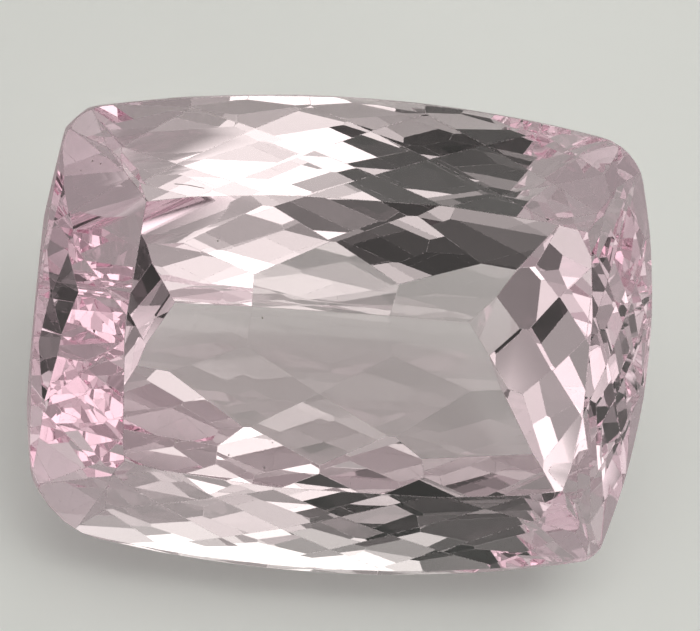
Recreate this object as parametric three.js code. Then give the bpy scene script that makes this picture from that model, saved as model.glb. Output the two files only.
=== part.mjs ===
// Kunzite gem: a cushion-cut stone lying on one facet of its underside, table up and to the front.
// One solid. Millimetres, +Z up. Origin: middle of the stone's box, on the surface it lies on.
import * as THREE from "three";
import { ConvexGeometry } from "three/addons/geometries/ConvexGeometry.js";

// ---- Driving dimensions -------------------------------------------------------------------------
const LENGTH = 20.0; // end to end over the girdle
const WIDTH = 15.2; // over the two long sides
const GIRDLE = 0.28; // thinnest place of the unpolished rim
const CROWN_HEIGHT = 2.5; // girdle to table

// Each side of the outline is bowed to its own radius, and each corner is rounded by another.
const SIDE_BOW = { right: 21, back: 44, left: 40, front: 42 };
const CORNER_RADIUS = { backRight: 1.9, backLeft: 1.5, frontLeft: 3.1, frontRight: 0.9 };

// Index stops, in degrees from the middle of a long side to the middle of an end. Tiers use the
// even-numbered and the odd-numbered stops by turns, so that their facets are staggered.
const RIM_STOPS = {
  right: [0, 2.45, 4.9, 7.35, 10, 24, 45, 64, 76, 79.4, 83, 86.5, 90],
  left: [0, 2.45, 4.9, 7.35, 10, 24, 45, 66, 81, 85.5, 90],
};
// Slope of each tier against the girdle plane, from the girdle inwards.
const CROWN_TIERS = [
  { side: 45, left: 44, right: 50 },
  { side: 41.5, left: 41.5, right: 46 },
  { side: 38, left: 39, right: 42 },
  { side: 34.5, left: 36.5, right: 38 },
  { side: 31, left: 34, right: 34 },
];
const RIM_TIERS = [
  { side: 66, left: 74, right: 72 },
  { side: 62.5, left: 72, right: 69 },
  { side: 59, left: 70, right: 66 },
];
const FIRST_MEET = 0.3; // how far the first tier's shared edges run before the next tier starts

// The keel, and the fans of larger facets that rise from it: two along it and two round its ends.
// reach is a row's distance from the keel, where the pavilion's run from keel to girdle is whole.
const KEEL_DEPTH = 7.8; // under the girdle
const KEEL_HALF_LENGTH = 4.48;
const KEEL_SHIFT = 0.28; // from the middle of the stone towards the back
const SIDE_ROWS = [
  { slope: 30.5, reach: 0.162, pitch: 4.8 },
  { slope: 36, reach: 0.322, pitch: 4.8 },
  { slope: 41, reach: 0.484, pitch: 4.8 },
  { slope: 45, reach: 0.618, pitch: 3.4 },
  { slope: 49, reach: 0.724, pitch: 3.4 },
  { slope: 53.5, reach: 0.816, pitch: 3.4 },
];
const RIGHT_ROWS = [
  { slope: 42, reach: 0.18, pitch: 2 },
  { slope: 47, reach: 0.36, pitch: 2 },
  { slope: 52, reach: 0.53, pitch: 2.4 },
  { slope: 56, reach: 0.68, pitch: 2.4 },
  { slope: 60, reach: 0.8, pitch: 2.4 },
];
const LEFT_ROWS = [
  { slope: 43, reach: 0.19, pitch: 3.4 },
  { slope: 49, reach: 0.41, pitch: 3.4 },
  { slope: 54.5, reach: 0.61, pitch: 3 },
  { slope: 59.5, reach: 0.79, pitch: 3 },
];
const KEEL_FANS = [
  { face: 0, rows: RIGHT_ROWS, bow: 6, across: 4 },
  { face: 90, rows: SIDE_ROWS, bow: 21, across: 7 },
  { face: 180, rows: LEFT_ROWS, bow: 8, across: 4 },
  { face: 270, rows: SIDE_ROWS, bow: 21, across: 7 },
];
const REST = { fan: 3, row: 2 }; // the stone lies on the middle facet of this row of a fan
const RIM_FLAT = 0.7; // length of the rim's flats along a side
const CORNER_FLATS = 6; // flats round a corner

const DEG = Math.PI / 180;

// ---- Girdle outline -----------------------------------------------------------------------------
const sides = [
  { face: 0, reach: LENGTH / 2, bow: SIDE_BOW.right },
  { face: 90, reach: WIDTH / 2, bow: SIDE_BOW.back },
  { face: 180, reach: LENGTH / 2, bow: SIDE_BOW.left },
  { face: 270, reach: WIDTH / 2, bow: SIDE_BOW.front },
];
const corners = [
  CORNER_RADIUS.backRight,
  CORNER_RADIUS.backLeft,
  CORNER_RADIUS.frontLeft,
  CORNER_RADIUS.frontRight,
];

function heading(degrees) {
  return new THREE.Vector2(Math.cos(degrees * DEG), Math.sin(degrees * DEG));
}

function sideCentre(side) {
  return heading(side.face).multiplyScalar(side.reach - side.bow);
}

// The centre of the corner arc that is tangent to the arcs of two neighbouring sides.
function cornerCentre(side, next, radius) {
  const a = sideCentre(side);
  const b = sideCentre(next);
  const toA = side.bow - radius;
  const toB = next.bow - radius;
  const gap = a.distanceTo(b);
  const along = (gap * gap + toA * toA - toB * toB) / (2 * gap);
  const across = Math.sqrt(toA * toA - along * along);
  const line = b.clone().sub(a).normalize();
  const square = new THREE.Vector2(line.y, -line.x);
  const candidates = [across, -across].map((offset) =>
    a.clone().addScaledVector(line, along).addScaledVector(square, offset),
  );
  const outward = heading(side.face + 45);
  return candidates.sort((p, q) => q.dot(outward) - p.dot(outward))[0];
}

function turnOf(vector) {
  return (Math.atan2(vector.y, vector.x) / DEG + 360) % 360;
}

// The eight arcs of the outline, each with the range of headings its outside faces.
function outlineArcs() {
  const centres = corners.map((radius, i) => cornerCentre(sides[i], sides[(i + 1) % 4], radius));
  const arcs = [];
  sides.forEach((side, i) => {
    const centre = sideCentre(side);
    const before = centres[(i + 3) % 4];
    const after = centres[i];
    const start = turnOf(before.clone().sub(centre));
    const end = turnOf(after.clone().sub(centre));
    arcs.push({ centre, radius: side.bow, start: start > end ? start - 360 : start, end });
    const nextStart = turnOf(after.clone().sub(sideCentre(sides[(i + 1) % 4])));
    arcs.push({ centre: after, radius: corners[i], start: end, end: nextStart });
  });
  return arcs;
}
const ARCS = outlineArcs();

function arcFacing(turn) {
  const facing = ((turn % 360) + 360) % 360;
  return ARCS.find((arc) =>
    [facing, facing - 360].some((angle) => angle >= arc.start && angle <= arc.end),
  );
}

// The point of the outline whose outside faces a heading.
function outlinePoint(turn) {
  const arc = arcFacing(turn);
  return arc.centre.clone().addScaledVector(heading(turn), arc.radius);
}

// ---- Facet planes -------------------------------------------------------------------------------
// A facet is { normal, distance }, in the stone's own frame: girdle at z = 0, table towards +z.
function facet(turn, slope, through) {
  const flat = heading(turn).multiplyScalar(Math.sin(slope * DEG));
  const normal = new THREE.Vector3(flat.x, flat.y, Math.cos(slope * DEG));
  return { normal, distance: normal.dot(through) };
}

// The point where three planes meet.
function meet(a, b, c) {
  const bc = new THREE.Vector3().crossVectors(b.normal, c.normal);
  const ca = new THREE.Vector3().crossVectors(c.normal, a.normal);
  const ab = new THREE.Vector3().crossVectors(a.normal, b.normal);
  const point = bc.multiplyScalar(a.distance);
  point.addScaledVector(ca, b.distance).addScaledVector(ab, c.distance);
  return point.divideScalar(a.normal.dot(new THREE.Vector3().crossVectors(b.normal, c.normal)));
}

// The index stops all the way round, in order, starting at the middle of the right end.
function allTurns({ right, left }) {
  const turns = new Set();
  right.forEach((stop) => turns.add(90 - stop).add((270 + stop) % 360));
  left.forEach((stop) => turns.add(90 + stop).add(270 - stop));
  return [...turns].sort((p, q) => p - q);
}

function slopeAt(tier, turn, up) {
  const { x } = heading(turn);
  const end = x > 0 ? tier.right : tier.left;
  const slope = tier.side + (end - tier.side) * x * x;
  return up > 0 ? slope : 180 - slope;
}

// One run of tiers on the crown (up = 1) or the pavilion (up = -1). The first tier starts where
// startAt says, the second where the first one's edges reach the first meet, and every later one
// at the points where the facets of the two tiers before it meet.
function cutTiers(tiers, stops, up, startAt) {
  const turns = allTurns(stops);
  const count = turns.length;
  const rows = [];
  tiers.forEach((tier, row) => {
    const facets = new Map();
    for (let i = row % 2; i < count; i += 2) {
      const slope = slopeAt(tier, turns[i], up);
      const before = (i + count - 1) % count;
      const after = (i + 1) % count;
      let through;
      if (row === 0) {
        through = startAt(turns[i]);
      } else {
        const above = row > 1 ? rows[row - 2].get(i) : levelPlane(startAt(turns[i]).z + up * FIRST_MEET);
        through = meet(rows[row - 1].get(before), rows[row - 1].get(after), above);
      }
      facets.set(i, facet(turns[i], slope, through));
    }
    rows.push(facets);
  });
  return rows.flatMap((facets) => [...facets.values()]);
}

function levelPlane(z) {
  return { normal: new THREE.Vector3(0, 0, 1), distance: z };
}

// ---- The solid ----------------------------------------------------------------------------------
// The rim's own planes stand upright, closer together round the corners than along the sides.
function rimPlanes() {
  const planes = [];
  for (const arc of ARCS) {
    const turns = arc.end - arc.start;
    const count = Math.max(CORNER_FLATS, Math.ceil((turns * DEG * arc.radius) / RIM_FLAT));
    for (let i = 0; i < count; i++) {
      const turn = arc.start + (turns * (i + 0.5)) / count;
      const rim = outlinePoint(turn);
      planes.push(facet(turn, 90, new THREE.Vector3(rim.x, rim.y, 0)));
    }
  }
  return planes;
}

// The part of a plane that lies inside all the other planes, as a polygon's corners.
function polygonOn(plane, planes) {
  const turn = new THREE.Quaternion().setFromUnitVectors(new THREE.Vector3(0, 0, 1), plane.normal);
  const centre = plane.normal.clone().multiplyScalar(plane.distance);
  let polygon = [
    [1, 1],
    [-1, 1],
    [-1, -1],
    [1, -1],
  ].map(([x, y]) => new THREE.Vector3(x * LENGTH, y * LENGTH, 0).applyQuaternion(turn).add(centre));
  for (const other of planes) {
    if (other === plane) continue;
    const heights = polygon.map((corner) => corner.dot(other.normal) - other.distance);
    polygon = polygon.flatMap((corner, i) => {
      const next = (i + 1) % polygon.length;
      const kept = heights[i] <= 0 ? [corner] : [];
      if (heights[i] > 0 === heights[next] > 0) return kept;
      const share = heights[i] / (heights[i] - heights[next]);
      return [...kept, corner.clone().lerp(polygon[next], share)];
    });
  }
  return polygon;
}

// A fan of staggered facets, each touching one bowed surface that rises from the keel. Every
// second row has a ridge, not a facet, in the middle. A side that is nearer to the keel gets the
// same rows, drawn together and steeper.
function cutFan({ face, rows, bow, across }) {
  const side = sides[face / 90];
  const out = heading(face);
  const along = heading(face + 90);
  const start = new THREE.Vector2(out.x * KEEL_HALF_LENGTH, KEEL_SHIFT);
  const run = side.reach - start.dot(out);
  const meanRun = face % 180 === 0 ? run : WIDTH / 2;
  const rise = ({ slope }) => (Math.tan(slope * DEG) * meanRun) / run;
  let height = -KEEL_DEPTH;
  return rows.map((row, k) => {
    const last = rows[k - 1] ?? { slope: row.slope, reach: 0 };
    height += ((row.reach - last.reach) * run * (rise(last) + rise(row))) / 2;
    const slope = Math.atan(rise(row)) / DEG;
    const rowBow = THREE.MathUtils.lerp(bow, side.bow, row.reach ** 2);
    const shift = (k % 2) * (row.pitch / 2);
    const steps = Math.floor((across - shift) / row.pitch);
    const facets = [];
    for (let offset = -steps * row.pitch - shift; offset <= across; offset += row.pitch) {
      const inwards = offset ** 2 / (2 * rowBow);
      const point = start.clone().addScaledVector(out, row.reach * run - inwards);
      point.addScaledVector(along, offset);
      const turn = face + Math.atan(offset / rowBow) / DEG;
      facets.push(facet(turn, 180 - slope, new THREE.Vector3(point.x, point.y, height)));
    }
    return facets;
  });
}

function rimEdge(up) {
  return (turn) => {
    const rim = outlinePoint(turn);
    return new THREE.Vector3(rim.x, rim.y, (up * GIRDLE) / 2);
  };
}

// The closed solid inside all the planes. Corners that several facets share are kept once.
function solidInside(planes) {
  const corners = new Map();
  for (const plane of planes) {
    for (const corner of polygonOn(plane, planes)) {
      corners.set(corner.toArray().map((value) => value.toFixed(4)).join(), corner);
    }
  }
  return new ConvexGeometry([...corners.values()]);
}

// Turns the stone until one facet faces straight down, and sets that facet on the surface.
function layOn(stone, facetBelow) {
  stone.quaternion.setFromUnitVectors(facetBelow.normal, new THREE.Vector3(0, 0, -1));
  stone.position.z = facetBelow.distance;
  const middle = new THREE.Box3().setFromObject(stone, true).getCenter(new THREE.Vector3());
  stone.position.x = -middle.x;
  stone.position.y = -middle.y;
}

const table = levelPlane(CROWN_HEIGHT);
const crown = cutTiers(CROWN_TIERS, RIM_STOPS, 1, rimEdge(1));
const rimTiers = cutTiers(RIM_TIERS, RIM_STOPS, -1, rimEdge(-1));
const keelFans = KEEL_FANS.map(cutFan);
const facets = [table, ...crown, ...rimPlanes(), ...rimTiers, ...keelFans.flat(2)];

const kunzite = new THREE.MeshStandardMaterial({ color: 0xdcc3cd, roughness: 0.04, metalness: 0 });
const stone = new THREE.Mesh(solidInside(facets), kunzite);
stone.name = "cut_stone";
const restRow = keelFans[REST.fan][REST.row];
layOn(stone, restRow[(restRow.length - 1) / 2]);

const gem = new THREE.Group();
gem.add(stone);
export default gem;
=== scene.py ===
"""A loose cushion-cut kunzite that lies on one facet of its underside, on a pale sheet."""

import math
import random

import bmesh
import bpy
from mathutils import Euler, Matrix, Vector


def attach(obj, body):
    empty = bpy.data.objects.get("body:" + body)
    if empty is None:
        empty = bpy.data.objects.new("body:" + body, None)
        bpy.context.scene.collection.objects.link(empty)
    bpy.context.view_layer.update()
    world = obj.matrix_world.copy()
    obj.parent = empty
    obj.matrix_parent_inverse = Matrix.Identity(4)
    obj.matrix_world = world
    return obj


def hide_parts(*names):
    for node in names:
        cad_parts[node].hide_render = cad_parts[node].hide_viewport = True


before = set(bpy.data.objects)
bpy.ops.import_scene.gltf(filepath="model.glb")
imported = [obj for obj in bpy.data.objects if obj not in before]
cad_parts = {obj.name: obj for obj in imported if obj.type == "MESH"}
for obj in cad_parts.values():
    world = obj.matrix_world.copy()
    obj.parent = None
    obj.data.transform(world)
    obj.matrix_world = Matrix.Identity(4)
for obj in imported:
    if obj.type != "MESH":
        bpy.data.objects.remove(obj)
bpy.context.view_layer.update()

# ==== The cut stone ==========================================================================
# One clear crystal of kunzite, 20 mm from end to end. Every facet is ground flat and polished
# on a lap, only the rim keeps its ground skin, and the ridges are very slightly worn.

MM = 0.001
SAME_POINT = 0.0005 * MM
SAME_FACET = math.radians(0.12)  # triangles that turn less than this belong to one facet
RIDGE_WEAR = 0.009 * MM  # how far the wear runs in from each ridge
RIM_LEAN = 0.05  # the rim's faces stand this close to square to the table
FACET, RIDGE, RIM = range(3)  # the stone's materials, in order

KUNZITE_IOR = 1.665
ABSORBED = Vector((0.8, 6.4, 3.9))  # what a metre of the crystal takes from red, green and blue
MIDDLE_TINT = (0.955, 0.948, 0.943)
END_TINT = (0.92, 0.84, 0.885)
TINT_BEGINS = 3.6 * MM  # how far from the middle the end's tint starts, and where it is full
TINT_FULL = 9.6 * MM
TINT_WANDERS = 2 * MM
TINT_PATCH = 6 * MM

DUST_SIZE = 0.16 * MM
DUST_SHOWS = (0.80, 0.84)  # dust lies where its clouds are this high
DUST_TINT = (0.86, 0.83, 0.82)
DUST_COVER = 0.5
DUST_DULLS = 0.10
SMEAR_SIZE = 3.1 * MM
SMEAR_SHOWS = (0.56, 0.78)
SMEAR_DULLS = 0.008
LAP_LINE_SIZE = 0.9 * MM
LAP_LINE_HEIGHT = 0.00006 * MM

NICK_SIZE = 0.12 * MM
NICK_SHOWS = (0.35, 0.75)
NICK_HEIGHT = 0.004 * MM
NICK_COVER = 0.6
NICK_DULLS = 0.35
WORN_TINT = (0.97, 0.95, 0.95)
WORN_ROUGHNESS = 0.12

RIM_TINT = (0.90, 0.80, 0.84)
RIM_PALE_TINT = (0.93, 0.88, 0.90)
RIM_PATCH = 1.4 * MM
RIM_GRAIN_SIZE = 0.05 * MM
RIM_GRAIN_HEIGHT = 0.006 * MM
RIM_GRAIN_DULLS = 0.25
RIM_ROUGHNESS = 0.32


class Field:
    """A shader socket in plain arithmetic: numbers go through Math, and colours through Mix."""

    def __init__(self, tree, socket=None):
        self.tree = tree
        self.socket = socket

    def node(self, kind, settings=None, inputs=None, output=0):
        made = self.tree.nodes.new(kind)
        for name, value in (settings or {}).items():
            setattr(made, name, value)
        for socket, value in (inputs or {}).items():
            self.feed(made.inputs[socket], value)
        return Field(self.tree, made.outputs[output])

    def feed(self, socket, value):
        if isinstance(value, Field):
            self.tree.links.new(value.socket, socket)
        elif socket.type == "RGBA":
            socket.default_value = (*value[:3], 1)
        else:
            socket.default_value = value

    def maths(self, operation, first, second=0.0):
        return self.node("ShaderNodeMath", {"operation": operation}, {0: first, 1: second})

    def __add__(self, other):
        return self.maths("ADD", self, other)

    __radd__ = __add__

    def __sub__(self, other):
        return self.maths("SUBTRACT", self, other)

    def __rsub__(self, other):
        return self.maths("SUBTRACT", other, self)

    def __mul__(self, other):
        return self.maths("MULTIPLY", self, other)

    __rmul__ = __mul__

    def unsigned(self):
        return self.maths("ABSOLUTE", self)

    def part(self, axis):
        """One of a vector's three numbers."""
        return self.node("ShaderNodeSeparateXYZ", None, {0: self}, output=axis)

    def rise(self, low, high):
        """0 below low, 1 above high, and a smooth rise between them."""
        return self.node(
            "ShaderNodeMapRange",
            {"interpolation_type": "SMOOTHSTEP"},
            {"Value": self, "From Min": low, "From Max": high},
        )

    def blend(self, start, end):
        """From one colour to another as this goes from 0 to 1."""
        return self.node(
            "ShaderNodeMix", {"data_type": "RGBA"}, {0: self, 6: start, 7: end}, output=2
        )

    def clouds(self, size, detail=2.0):
        """Soft random patches of about this size, between 0 and 1."""
        return self.node(
            "ShaderNodeTexNoise", None, {"Vector": self, "Scale": 1 / size, "Detail": detail}
        )

    def relief(self, height):
        """The normal of a surface that is as high as this field, times a height in metres."""
        return self.node("ShaderNodeBump", None, {"Distance": height, "Height": self})


def plain_material(name):
    """A new material, its shader, and the place on the piece, in metres, to paint it by."""
    made = bpy.data.materials.new(name)
    made.use_nodes = True
    shader = made.node_tree.nodes["Principled BSDF"]
    place = Field(made.node_tree).node("ShaderNodeTexCoord", output="Object")
    return made, shader, place


def clear_crystal(name):
    """Kunzite's body: clear, bending light by its index, tinted by what its depth absorbs."""
    made, shader, place = plain_material(name)
    shader.inputs["Transmission Weight"].default_value = 1.0
    shader.inputs["IOR"].default_value = KUNZITE_IOR
    nodes = made.node_tree.nodes
    strongest = max(ABSORBED)
    inside = nodes.new("ShaderNodeVolumeAbsorption")
    inside.inputs["Color"].default_value = (*[1 - part / strongest for part in ABSORBED], 1)
    inside.inputs["Density"].default_value = strongest
    body = nodes["Material Output"].inputs["Volume"]
    made.node_tree.links.new(inside.outputs["Volume"], body)
    return made, shader, place


def crystal_tint(place):
    """Pale in the middle and pinker towards the two ends, a little unevenly."""
    uneven = (place.clouds(TINT_PATCH) - 0.5) * TINT_WANDERS
    from_middle = (place.part("X") + uneven).unsigned()
    return from_middle.rise(TINT_BEGINS, TINT_FULL).blend(MIDDLE_TINT, END_TINT)


def polished_facets():
    made, shader, place = clear_crystal("polished_facets")
    dust = place.clouds(DUST_SIZE, detail=3.0).rise(*DUST_SHOWS)
    smears = place.clouds(SMEAR_SIZE).rise(*SMEAR_SHOWS)
    lap_lines = place.clouds(LAP_LINE_SIZE, detail=1.0)
    tint = (dust * DUST_COVER).blend(crystal_tint(place), DUST_TINT)
    place.feed(shader.inputs["Base Color"], tint)
    place.feed(shader.inputs["Roughness"], smears * SMEAR_DULLS + dust * DUST_DULLS)
    place.feed(shader.inputs["Normal"], lap_lines.relief(LAP_LINE_HEIGHT))
    return made


def worn_ridges():
    made, shader, place = clear_crystal("worn_ridges")
    nicks = place.clouds(NICK_SIZE).rise(*NICK_SHOWS)
    tint = (nicks * NICK_COVER).blend(crystal_tint(place), WORN_TINT)
    place.feed(shader.inputs["Base Color"], tint)
    place.feed(shader.inputs["Roughness"], nicks * NICK_DULLS + WORN_ROUGHNESS)
    place.feed(shader.inputs["Normal"], nicks.relief(NICK_HEIGHT))
    return made


def ground_rim():
    made, shader, place = clear_crystal("ground_rim")
    grain = place.clouds(RIM_GRAIN_SIZE, detail=3.0)
    tint = place.clouds(RIM_PATCH).blend(RIM_TINT, RIM_PALE_TINT)
    place.feed(shader.inputs["Base Color"], tint)
    place.feed(shader.inputs["Roughness"], grain * RIM_GRAIN_DULLS + RIM_ROUGHNESS)
    place.feed(shader.inputs["Normal"], grain.relief(RIM_GRAIN_HEIGHT))
    return made


def flat_facets():
    """The stone's shape with each flat facet as one face, and its table."""
    shape = bmesh.new()
    shape.from_mesh(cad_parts["cut_stone"].data)
    bmesh.ops.remove_doubles(shape, verts=shape.verts, dist=SAME_POINT)
    bmesh.ops.dissolve_limit(
        shape, angle_limit=SAME_FACET, verts=shape.verts, edges=shape.edges
    )
    return shape, max(shape.faces, key=lambda face: face.calc_area())


def add_piece(name, shape, finishes):
    mesh = bpy.data.meshes.new(name)
    shape.to_mesh(mesh)
    shape.free()
    for finish in finishes:
        mesh.materials.append(finish)
    piece = bpy.data.objects.new(name, mesh)
    bpy.context.scene.collection.objects.link(piece)
    return piece


def kunzite_gem():
    shape, table = flat_facets()
    for face in shape.faces:
        face.material_index = RIM if abs(face.normal.dot(table.normal)) < RIM_LEAN else FACET
    bmesh.ops.bevel(
        shape,
        geom=shape.edges[:],
        offset=RIDGE_WEAR,
        offset_type="OFFSET",
        segments=1,
        profile=0.5,
        affect="EDGES",
        clamp_overlap=False,
        material=RIDGE,
    )
    return add_piece("kunzite_gem", shape, [polished_facets(), worn_ridges(), ground_rim()])


gem = kunzite_gem()
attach(gem, "root")
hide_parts("cut_stone")

# ==== What the crystal shut in ===============================================================
# Dust-sized grains of dark mica and pale clay, and one thin growth tube. The crystal grew
# round them, and they lie shallow under the table.

# Each grain: how far right of and up from the table's middle, depth under it, radius, in mm.
DARK_GRAINS = [
    (-3.75, -3.75, 0.5, 0.04),
    (-2.55, -4.1, 0.7, 0.032),
    (-2.4, -3.25, 0.4, 0.028),
]
PALE_GRAINS = [
    (-4.75, 3.0, 0.5, 0.045),
    (-3.05, 0.65, 0.8, 0.05),
    (-5.5, -3.4, 0.4, 0.03),
    (5.26, -4.09, 0.5, 0.04),
    (4.76, -3.81, 0.6, 0.035),
]
GRAIN_FLATTENED = 0.6
GRAIN_NARROWEST = 0.7
DARK_GRAIN = (0.11, 0.10, 0.09)
PALE_GRAIN = (0.80, 0.79, 0.72)
GRAIN_DARKEST = 0.6
GRAIN_PATCH = 0.03 * MM
GRAIN_HEIGHT = 0.003 * MM
GRAIN_PATCH_DULLS = 0.3
GRAIN_ROUGHNESS = 0.45
# The points that the tube runs through: right, up and depth, as for the grains.
GROWTH_TUBE = [(-6.2, 4.5, 0.9), (-5.75, 4.45, 1.0), (-5.2, 4.3, 1.2)]
TUBE_RADIUS = 0.014 * MM
TUBE_TAPER = 0.7
random.seed(27)

bare_stone, stone_table = flat_facets()
table_middle = stone_table.calc_center_bounds()
table_normal = stone_table.normal.copy()
bare_stone.free()


def under_table(right, up, depth):
    along = Vector((1, 0, 0))
    across = table_normal.cross(along)
    return table_middle + (along * right + across * up - table_normal * depth) * MM


def grain_finish(name, colour):
    made, shader, place = plain_material(name)
    shade = place.clouds(GRAIN_PATCH, detail=3.0)
    darkest = tuple(part * GRAIN_DARKEST for part in colour)
    place.feed(shader.inputs["Base Color"], shade.blend(darkest, colour))
    place.feed(shader.inputs["Roughness"], shade * GRAIN_PATCH_DULLS + GRAIN_ROUGHNESS)
    place.feed(shader.inputs["Normal"], shade.relief(GRAIN_HEIGHT))
    return made


def grains(name, places, finish):
    shape = bmesh.new()
    for right, up, depth, radius in places:
        turn = Euler([random.uniform(0, math.tau) for _ in range(3)]).to_matrix().to_4x4()
        lumpy = Matrix.Diagonal((1, random.uniform(GRAIN_NARROWEST, 1), GRAIN_FLATTENED, 1))
        place = Matrix.Translation(under_table(right, up, depth)) @ turn @ lumpy
        bmesh.ops.create_icosphere(shape, subdivisions=1, radius=radius * MM, matrix=place)
    return add_piece(name, shape, [finish])


def growth_tube(finish):
    points = [under_table(*point) for point in GROWTH_TUBE]
    shape = bmesh.new()
    for start, end in zip(points, points[1:]):
        middle = Matrix.Translation((start + end) / 2)
        turn = (end - start).to_track_quat("Z", "Y").to_matrix().to_4x4()
        bmesh.ops.create_cone(
            shape,
            cap_ends=True,
            segments=6,
            radius1=TUBE_RADIUS,
            radius2=TUBE_RADIUS * TUBE_TAPER,
            depth=(end - start).length,
            matrix=middle @ turn,
        )
    return add_piece("growth_tube", shape, [finish])


dark_mica = grain_finish("dark_mica", DARK_GRAIN)
pale_clay = grain_finish("pale_clay", PALE_GRAIN)
for shut_in in (
    grains("dark_grains", DARK_GRAINS, dark_mica),
    grains("pale_grains", PALE_GRAINS, pale_clay),
    growth_tube(dark_mica),
):
    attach(shut_in, "root")

# ==== The sheet it lies on ===================================================================
# A plain sheet of pale card, matte and flat, and wide enough to fill every view. The gem is
# not fixed to it.

SHEET_HALF = 2.0
AIR_GAP = 0.03 * MM  # a hair of air is left under a hard, flat facet
SHEET_COLOUR = (0.90, 0.92, 0.91)
SHEET_SHADE = (0.88, 0.90, 0.89)
SHEET_PATCH = 40 * MM
SHEET_ROUGHNESS = 0.85


def pale_sheet():
    shape = bmesh.new()
    level = Matrix.Translation((0, 0, -AIR_GAP))
    bmesh.ops.create_grid(shape, x_segments=1, y_segments=1, size=SHEET_HALF, matrix=level)
    matte, shader, place = plain_material("matte_sheet")
    shade = place.clouds(SHEET_PATCH).blend(SHEET_COLOUR, SHEET_SHADE)
    place.feed(shader.inputs["Base Color"], shade)
    place.feed(shader.inputs["Roughness"], SHEET_ROUGHNESS)
    return add_piece("pale_sheet", shape, [matte])


pale_sheet()

# ==== The light ==============================================================================
# A pale room, lit by a few large soft windows. A gem also needs something dark to mirror, so
# two parts of the room are left unlit.

LIGHT_COLOUR = (1, 0.985, 0.935)
ROOM = 0.36
HAZE = 0.3  # how much paler the room is at the horizon
HAZE_FADES = (0.02, 0.2)  # from this height above the horizon to this one, out of 1
# Azimuth, elevation, radius of the even part and of its soft edge, in degrees, and the light.
ROOM_PATCHES = {
    "front window": (-76, 12, 2, 30, 1.0),
    "front window, upper part": (-62, 30, 3, 22, 0.8),
    "back window": (70, 24, 8, 26, 1.3),
    "skylight": (30, 78, 8, 40, 1.12),
    "ceiling light": (155, 60, 10, 36, 0.6),
    "dark doorway": (-94, 36, 12, 34, -ROOM),
    "dark corner": (108, 54, 14, 36, -ROOM),
}


def towards(azimuth, elevation):
    turn = Euler((0, -math.radians(elevation), math.radians(azimuth)))
    return turn.to_matrix() @ Vector((1, 0, 0))


def soft_room():
    world = bpy.data.worlds.new("soft_room")
    world.use_nodes = True
    background = world.node_tree.nodes["Background"]
    outward = Field(world.node_tree).node("ShaderNodeTexCoord", output="Generated")
    light = (1 - outward.part("Z").rise(*HAZE_FADES)) * HAZE + ROOM
    for azimuth, elevation, even_radius, edge_radius, strength in ROOM_PATCHES.values():
        facing = outward.node(
            "ShaderNodeVectorMath",
            {"operation": "DOT_PRODUCT"},
            {0: outward, 1: towards(azimuth, elevation)},
            output="Value",
        )
        edge = math.cos(math.radians(edge_radius))
        even = math.cos(math.radians(even_radius))
        light = light + facing.rise(edge, even) * strength
    outward.feed(background.inputs["Color"], LIGHT_COLOUR)
    outward.feed(background.inputs["Strength"], light)
    return world


bpy.context.scene.world = soft_room()

# ==== The camera =============================================================================
# It looks down on the table from the front left, close by, and is turned a little on its axis.

CAMERA_AZIMUTH = -112.854
CAMERA_ELEVATION = 55.225
CAMERA_ROLL = 22.956
CAMERA_DISTANCE = 0.30
LOOK_AT = Vector((0.164, 0.236, 6.712)) * MM
VIEW_WIDTH = 22.22 * MM  # what the picture's width spans at the stone
SENSOR_WIDTH = 36
MOST_BOUNCES = 40  # light crosses a cut gem many times before it leaves
MOST_CROSSINGS = 32


def camera():
    lens = bpy.data.cameras.new("camera")
    lens.sensor_fit = "HORIZONTAL"
    lens.sensor_width = SENSOR_WIDTH
    lens.lens = SENSOR_WIDTH * CAMERA_DISTANCE / VIEW_WIDTH
    lens.clip_start = MM
    holder = bpy.data.objects.new("camera", lens)
    back = towards(CAMERA_AZIMUTH, CAMERA_ELEVATION)
    level = back.to_track_quat("Z", "Y").to_matrix()
    turned = level @ Matrix.Rotation(math.radians(CAMERA_ROLL), 3, "Z")
    holder.matrix_world = Matrix.Translation(LOOK_AT + back * CAMERA_DISTANCE) @ turned.to_4x4()
    bpy.context.scene.collection.objects.link(holder)
    return holder


scene = bpy.context.scene
scene.camera = camera()
scene.view_settings.view_transform = "Standard"
scene.cycles.sampling_pattern = "TABULATED_SOBOL"
scene.cycles.max_bounces = MOST_BOUNCES
scene.cycles.glossy_bounces = MOST_CROSSINGS
scene.cycles.transmission_bounces = MOST_CROSSINGS
